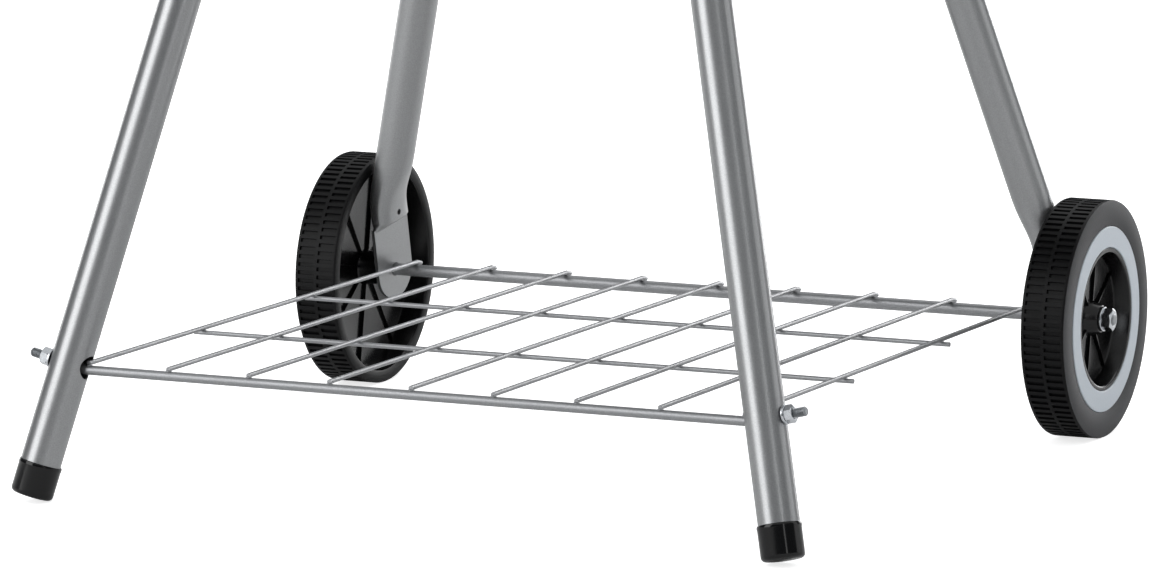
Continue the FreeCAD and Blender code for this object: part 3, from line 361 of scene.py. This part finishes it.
def turn(name, outline, sides):
    """A round piece about Z, drawn through (radius, height) points in millimetres."""
    pick()
    radius, height = max(outline[0][0], POLE), outline[0][1]
    bpy.ops.mesh.primitive_circle_add(vertices=sides, radius=radius * MM, location=(0, 0, height * MM))
    piece = bpy.context.object
    piece.name = name
    bpy.ops.object.transform_apply(location=True)
    bpy.ops.object.mode_set(mode="EDIT")
    bpy.ops.mesh.select_mode(type="EDGE")
    bpy.ops.mesh.select_all(action="SELECT")
    for next_radius, next_height in outline[1:]:
        next_radius = max(next_radius, POLE)
        ratio = next_radius / radius
        rise = (0, 0, (next_height - height) * MM)
        bpy.ops.mesh.extrude_region_move(TRANSFORM_OT_translate={"value": rise})
        bpy.ops.transform.resize(value=(ratio, ratio, 1), center_override=(0, 0, 0))
        radius, height = next_radius, next_height
    return tidy(piece)


def settle(piece, matrix):
    """Puts a piece in its place, with the place in its mesh."""
    pick(piece)
    piece.matrix_world = matrix
    bpy.ops.object.transform_apply(location=True, rotation=True, scale=True)
    return piece


def copy_of(piece, name):
    """A second object with a mesh of its own."""
    twin = bpy.data.objects.new(name, piece.data.copy())
    scene.collection.objects.link(twin)
    return twin


def reflected(piece, name):
    """The same piece on the other side of the middle plane, with its faces outwards."""
    twin = settle(copy_of(piece, name), Matrix.Scale(-1, 4, (1, 0, 0)))
    open_edit(twin, "FACE")
    return tidy(twin)


def joined(pieces, name):
    """One object out of several."""
    pick(*pieces)
    bpy.ops.object.join()
    bpy.context.object.name = name
    return bpy.context.object


SMOOTH_BELOW = math.radians(32)


def stand_for(piece, body, slot, finish, *nodes):
    """Smooths a finished piece, gives it its finish and body, and hides the nodes it replaces."""
    pick(piece)
    bpy.ops.object.shade_smooth_by_angle(angle=SMOOTH_BELOW)
    if not piece.data.materials:
        piece.data.materials.append(finish)
    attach(piece, body)
    if nodes:
        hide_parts(*nodes)
    print(piece.name, len(piece.data.polygons), "faces")


# %% [markdown]
# ## Wheels
#
# Each wheel is one hollow blow-moulded piece, 154 mm across. Its tread has two rows of
# transverse pockets, ninety to a row, half a step out of line with each other, so the mould
# can part. The outside has a matt side wall, a seat for the pale ring, a lip and a dished web
# with eight stiffening ribs round a long hub. The wheel is turned from an outline, the tread
# pockets are selected face by face and pushed in, and ribs are added on both webs.

# %% Wheel outline and tread
WHEEL_R = (WHEEL[1].z - WHEEL[0].z) / 2 / MM
WIDTH, BORE = 29.5, 4.05
DISH = WHEEL_R - 10
SHOULDER, ROW_GAP = 2.2, 2.2
PITCHES, STEPS, POCKET_DEEP = 90, 4, 1.5
WEB_IN, WEB_OUT = 15.0, 18.0
ROW_IN = WIDTH / 2 - ROW_GAP / 2
ROW_OUT = WIDTH / 2 + ROW_GAP / 2
wheel_outline = [
    (BORE, -1.5), (9.5, -1.5), (10, -1.1), (11.6, 13.6), (12.4, 14.8), (13.4, WEB_IN),
    (DISH - 1.4, WEB_IN), (DISH - 0.3, 14.6), (DISH + 0.1, 13.6), (DISH + 1.3, 1.4), (DISH + 1.8, 0.4),
    (DISH + 2.6, 0), (WHEEL_R - 1.1, 0), (WHEEL_R - 0.3, 0.3), (WHEEL_R, 1.1), (WHEEL_R, SHOULDER),
    (WHEEL_R, ROW_IN), (WHEEL_R, ROW_OUT), (WHEEL_R, WIDTH - SHOULDER), (WHEEL_R, 28.4),
    (WHEEL_R - 0.3, 29.2), (WHEEL_R - 1.1, WIDTH),
    (61.0, WIDTH), (60.3, 29.1), (60.05, 28.0), (46.45, 28.0), (46.2, 29.1), (45.8, WIDTH),
    (44.2, WIDTH), (43.5, 29.2), (43.1, 28.4), (42.2, 19.6), (41.7, 18.5), (40.6, WEB_OUT),
    (13.6, WEB_OUT), (12.3, 18.4), (11.4, 19.6), (9.4, 25.2), (8.8, 26.2), (8.0, 26.5),
    (BORE, 26.5), (BORE, -1.5),
]
wheel = turn("wheel", wheel_outline, PITCHES * STEPS)
pocket_floor = (WHEEL_R - POCKET_DEEP) / WHEEL_R


def in_pocket(centre, normal):
    """True on the tread faces that are pushed in: half of each pitch, staggered row to row."""
    if math.hypot(centre.x, centre.y) < (WHEEL_R - 0.1) * MM:
        return False
    row_one = SHOULDER < centre.z / MM < ROW_IN
    row_two = ROW_OUT < centre.z / MM < WIDTH - SHOULDER
    step = int((math.atan2(centre.y, centre.x) / math.tau % 1) * PITCHES * STEPS) % STEPS
    return (row_one and step < STEPS // 2) or (row_two and step >= STEPS // 2)


open_edit(wheel, "FACE")
choose(wheel, in_pocket)
bpy.ops.mesh.extrude_region_move(TRANSFORM_OT_translate={"value": (0, 0, 0)})
bpy.ops.transform.resize(value=(pocket_floor, pocket_floor, 1), center_override=(0, 0, 0))
tidy(wheel)
print("wheel faces:", len(wheel.data.polygons))


# %% Wheel ribs
RIBS, FIRST_RIB, RIB_THICK = 8, 10.0, 0.95
OUTER_RISE, INNER_RISE, RIB_ROOT = 1.7, 2.0, 0.5


def rib(inner, outer, base, top):
    """A thin radial rib with drawn-in sides, along Y, with its top edges rounded."""
    pick()
    bpy.ops.mesh.primitive_cube_add(size=1, location=(0, (inner + outer) / 2 * MM, (base + top) / 2 * MM))
    piece = bpy.context.object
    piece.scale = (RIB_THICK * MM, (outer - inner) * MM, abs(top - base) * MM)
    bpy.ops.object.transform_apply(location=True, rotation=True, scale=True)
    open_edit(piece, "FACE")
    choose(piece, lambda centre, normal: abs(centre.z - top * MM) < 1e-5)
    bpy.ops.mesh.inset(thickness=0.15 * MM)
    bpy.ops.mesh.bevel(offset=0.12 * MM, segments=2, affect="EDGES")
    return tidy(piece)


ribs = []
for number in range(RIBS):
    spin = Matrix.Rotation(-math.radians(FIRST_RIB + 360 / RIBS * number), 4, "Z")
    ribs.append(settle(rib(10.5, 41.9, WEB_OUT - RIB_ROOT, WEB_OUT + OUTER_RISE), spin))
    ribs.append(settle(rib(11, DISH, WEB_IN + RIB_ROOT, WEB_IN - INNER_RISE), spin))
wheel = joined([wheel, *ribs], "wheel_right_moulded")


# %% Wheel finishes and places
WALL_FACE, RING_SEAT_R, DISH_LIP_R, WEB_MIDDLE = 29.3, 60.5, 46.6, 16.5


def finish_of(centre):
    """0 on the tread, 1 on the matt side wall, whose grey is painted sheen, 2 in the polished outer dish
    and on the whole inside, where the dark polish is painted shade.
    """
    radius = math.hypot(centre.x, centre.y) / MM
    if centre.z / MM > WALL_FACE and radius > RING_SEAT_R:
        return 1
    outer_dish = radius < DISH_LIP_R and centre.z / MM > WEB_MIDDLE
    # painted shade: the whole inside of the wheel gets the dark polished black
    inner_painted_shade = radius < DISH + 2 and centre.z / MM < WEB_MIDDLE
    return 2 if outer_dish or inner_painted_shade else 0


for finish in (tread_black, side_wall_painted_sheen, hub_black_and_painted_shade):
    wheel.data.materials.append(finish)
for face in wheel.data.polygons:
    face.material_index = finish_of(face.center)

ring_outline = [(46.5, 28.0), (46.5, 29.45), (46.9, 29.8), (59.6, 29.8), (60.0, 29.45), (60.0, 28.0),
                (46.5, 28.0)]
ring = turn("wheel_ring_right_moulded", ring_outline, 128)
# the wheel's own Z points outwards along the axle, and its Y points up
HUB = Matrix(((0, 0, 1), (1, 0, 0), (0, 1, 0))).to_4x4()
TO_RIGHT = Matrix.Translation((WHEEL[1].x - WIDTH * MM, AXLE.y, AXLE.z)) @ HUB
settle(wheel, TO_RIGHT)
settle(ring, TO_RIGHT)
left_wheel = reflected(wheel, "wheel_left_moulded")
left_ring = reflected(ring, "wheel_ring_left_moulded")
stand_for(wheel, "wheel_right", "wheel_plastic", tread_black, "wheel_right")
stand_for(left_wheel, "wheel_left", "wheel_plastic", tread_black, "wheel_left")
stand_for(ring, "wheel_right", "ring_plastic", ring_grey, "wheel_ring_right")
stand_for(left_ring, "wheel_left", "ring_plastic", ring_grey, "wheel_ring_left")

# %% [markdown]
# ## Rod, axle, nuts and washers
#
# The shelf's front rod and the axle are plain bars with threaded ends. A thread this fine
# reads as a stack of rings, so the bars are turned with one ridge per pitch: 1 mm on the M6
# rod and 1.25 mm on the M8 axle. The rod's ends are then bent up square to the leaning legs.

# %% Threaded bars
THREAD_DEPTH = 0.54            # of the pitch
ROD_R, ROD_PITCH, ROD_THREAD = 3.0, 1.0, 16
AXLE_R, AXLE_PITCH, AXLE_THREAD = 4.0, 1.25, 10


def threaded_bar(name, half_length, radius, pitch, thread, bend_at, sides=32):
    """A bar about Z with a chamfered thread at both ends, and a ring where it may be bent."""
    depth = pitch * THREAD_DEPTH
    start = half_length - thread
    half = [(radius, bend_at), (radius, start)]
    turns = int((thread - pitch) / pitch)
    for number in range(turns):
        low = start + (number + 0.25) * pitch
        half += [(radius - depth, low), (radius - depth, low + pitch * 0.12),
                 (radius, low + pitch * 0.5), (radius, low + pitch * 0.62)]
    half += [(radius - depth, half_length - 0.35 * pitch), (radius - depth * 1.5, half_length),
             (0, half_length)]
    return turn(name, [(r, -z) for r, z in reversed(half)] + half, sides)


LEAN_IN = 0.239
rod_line = side_box("shelf_front_rod", 1)
rod_nut = middle(side_box("shelf_rod_nuts", 1))
rod_low = rod_line[0].z + ROD_R * MM
WAY = Vector((1, 0, LEAN_IN)).normalized()
bend = rod_nut - WAY * ((rod_nut.z - rod_low) / WAY.z)
half_rod = bend.x + (rod_line[1].x - ROD_R * MM * WAY.z - bend.x) / WAY.x
shelf_rod = threaded_bar("shelf_rod_threaded", half_rod / MM, ROD_R, ROD_PITCH, ROD_THREAD, bend.x / MM)
LYING = Matrix.Rotation(math.radians(90), 4, "Y")
settle(shelf_rod, Matrix.Translation((0, bend.y, rod_low)) @ LYING)
for side in (1, -1):
    open_edit(shelf_rod, "VERT")
    mesh = bmesh.from_edit_mesh(shelf_rod.data)
    for vert in mesh.verts:
        vert.select_set(vert.co.x * side > bend.x + 1e-4)
    bmesh.update_edit_mesh(shelf_rod.data)
    bpy.ops.transform.rotate(value=math.atan(LEAN_IN) * side, orient_axis="Y",
                             center_override=(bend.x * side, bend.y, rod_low))
    bpy.ops.object.mode_set(mode="OBJECT")
print("rod top, CAD and shown:", round(rod_line[1].z, 4),
      round(max(v.co.z for v in shelf_rod.data.vertices), 4))


# %% Nuts and washers
CORNER_SLOPE = 0.58   # the 30 degree chamfer of a nut's corners
FACE_PART = 0.97      # the round end face, as a part of the width across the flats


def hexagon_nut(name, across_flats, thick, bore, centred_on, way):
    """A hexagon nut: a six-sided block with its corners turned off and a drilled bore."""
    corner = across_flats / math.sqrt(3)
    pick()
    bpy.ops.mesh.primitive_cylinder_add(vertices=6, radius=corner * MM, depth=thick * MM)
    nut = bpy.context.object
    nut.name = name
    flat = across_flats / 2 * FACE_PART
    slope = (corner - flat) * CORNER_SLOPE
    blank = turn("nut_blank", [
        (bore, -thick / 2), (flat, -thick / 2), (corner + 0.02, slope - thick / 2),
        (corner + 0.02, thick / 2 - slope), (flat, thick / 2), (bore, thick / 2),
        (bore - 0.3, thick / 2 - 0.4), (bore - 0.3, 0.4 - thick / 2), (bore, -thick / 2)], 48)
    pick(nut)
    shape = nut.modifiers.new("corners", "BOOLEAN")
    shape.operation, shape.object, shape.solver = "INTERSECT", blank, "EXACT"
    bpy.ops.object.modifier_apply(modifier="corners")
    bpy.data.objects.remove(blank)
    return settle(nut, Matrix.Translation(centred_on) @ facing(way))


def washer(name, outer, bore, thick, centred_on, way):
    """A stamped washer, with one edge rounded by the punch."""
    half = thick / 2
    made = turn(name, [
        (bore, -half), (outer - 0.1, -half), (outer, 0.1 - half), (outer, half - 0.4),
        (outer - 0.15, half - 0.12), (outer - 0.45, half), (bore + 0.1, half), (bore, half - 0.1),
        (bore, -half)], 48)
    return settle(made, Matrix.Translation(centred_on) @ facing(way))


def pair(make, name, node, way, *sizes):
    """One piece on each side of the grill, in place of the two in a CAD node."""
    return [make(name, *sizes, middle(side_box(node, side)), Vector((way.x * side, way.y, way.z)))
            for side in (1, -1)]


def cut_ends(bar, start):
    """Bare steel on a bar's threads, beyond a place along it, and the wire's coat on the rest."""
    for face in bar.data.polygons:
        face.material_index = int(abs(face.center.x) > start)
    bar.data.materials.append(wire_coat)
    bar.data.materials.append(cut_steel)


OUT = Vector((1, 0, 0))
rod_nuts = pair(hexagon_nut, "nut", "shelf_rod_nuts", WAY, 10, 5, 2.9)
rod_washers = pair(washer, "washer", "shelf_rod_washers", WAY, 6, 3.05, 1.6)
axle_nuts = pair(hexagon_nut, "nut", "axle_nuts", OUT, 13, 6, 3.9)
axle_washers = pair(washer, "washer", "axle_washers", OUT, 8, 4.05, 1.6)
axle_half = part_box("axle")[1].x
axle = threaded_bar("axle_threaded", axle_half / MM, AXLE_R, AXLE_PITCH, AXLE_THREAD, axle_half / MM / 2)
settle(axle, Matrix.Translation(AXLE) @ LYING)
cut_ends(shelf_rod, bend.x + 12 * MM)
cut_ends(axle, axle_half - AXLE_THREAD * MM)

stand_for(shelf_rod, "frame", "shelf_coat", wire_coat, "shelf_front_rod")
stand_for(axle, "frame", "shelf_coat", wire_coat, "axle")
stand_for(joined(rod_nuts, "rod_nuts_chamfered"), "frame", "zinc", zinc, "shelf_rod_nuts")
stand_for(joined(rod_washers, "rod_washers_stamped"), "frame", "zinc", zinc, "shelf_rod_washers")
stand_for(joined(axle_nuts, "axle_nuts_chamfered"), "frame", "zinc", zinc, "axle_nuts")
stand_for(joined(axle_washers, "axle_washers_stamped"), "frame", "zinc", zinc, "axle_washers")

# %% [markdown]
# ## Foot caps
#
# A vinyl cap is dipped on a plug, so its corners are round and its open end has a slightly
# thicker rolled edge. It is turned from an outline and then leans with the leg, about the
# middle of its CAD node.

# %% Foot caps
LEAN_BACK = 0.2137
LEG_WAY = Vector((-LEAN_IN, LEAN_BACK, 1)).normalized()
CAP_R, CAP_HIGH, CAP_FLOOR, TUBE_R = 13.6, 21.5, 3.0, 12.72
cap_outline = [(0, 0), (CAP_R - 3.4, 0), (CAP_R - 2.2, 0.2), (CAP_R - 1.2, 0.75), (CAP_R - 0.55, 1.6),
               (CAP_R - 0.25, 2.7), (CAP_R - 0.2, 18.6), (CAP_R - 0.05, 19.1), (CAP_R, 19.8),
               (CAP_R - 0.05, 20.9), (CAP_R - 0.3, 21.4), (CAP_R - 0.55, CAP_HIGH), (TUBE_R, 21.3),
               (TUBE_R, CAP_FLOOR), (0, CAP_FLOOR)]
cap = turn("foot_cap_right_dipped", [(r, z - CAP_HIGH / 2) for r, z in cap_outline], 96)
settle(cap, Matrix.Translation(middle(side_box("foot_cap_right", 1))) @ facing(LEG_WAY))
left_cap = reflected(cap, "foot_cap_left_dipped")
stand_for(cap, "frame", "cap_plastic", cap_vinyl, "foot_cap_right")
stand_for(left_cap, "frame", "cap_plastic", cap_vinyl, "foot_cap_left")

# %% [markdown]
# ## Welds of the shelf
#
# The wires are resistance welded: squeezed together hot, so a little metal swells out round
# each crossing. One small flattened bead is modelled and copied to every crossing.

# %% Weld beads
WIRES, WIRE_R = 9, 1.5
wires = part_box("shelf_long_wires")
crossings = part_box("shelf_cross_wires")
first_x = wires[0].x + WIRE_R * MM
pitch_x = (wires[1].x - wires[0].x - 2 * WIRE_R * MM) / (WIRES - 1)


def height_at(node, y):
    """The middle height of a node's points nearest to a place along Y."""
    points = [v.co for v in frame["nodes"][node].data.vertices if abs(v.co.y - y) < 6 * MM]
    return (min(p.z for p in points) + max(p.z for p in points)) / 2


def bead(place, size):
    """A flattened bead of metal, by its half sizes in millimetres."""
    pick()
    bpy.ops.mesh.primitive_ico_sphere_add(subdivisions=2, radius=1, location=(0, 0, 0))
    piece = bpy.context.object
    return settle(piece, Matrix.Translation(place) @ Matrix.Diagonal((*[s * MM for s in size], 1)))


beads = []
for number in range(WIRES):
    x = first_x + number * pitch_x
    beads.append(bead((x, bend.y, rod_low + ROD_R * MM), (2.1, 1.9, 0.9)))
    for y in (crossings[0].y + WIRE_R * MM, crossings[1].y - WIRE_R * MM):
        beads.append(bead((x, y, height_at("shelf_cross_wires", y) + 1.45 * MM), (1.9, 1.9, 0.7)))
stand_for(joined(beads, "shelf_weld_beads"), "frame", "shelf_coat", wire_coat)
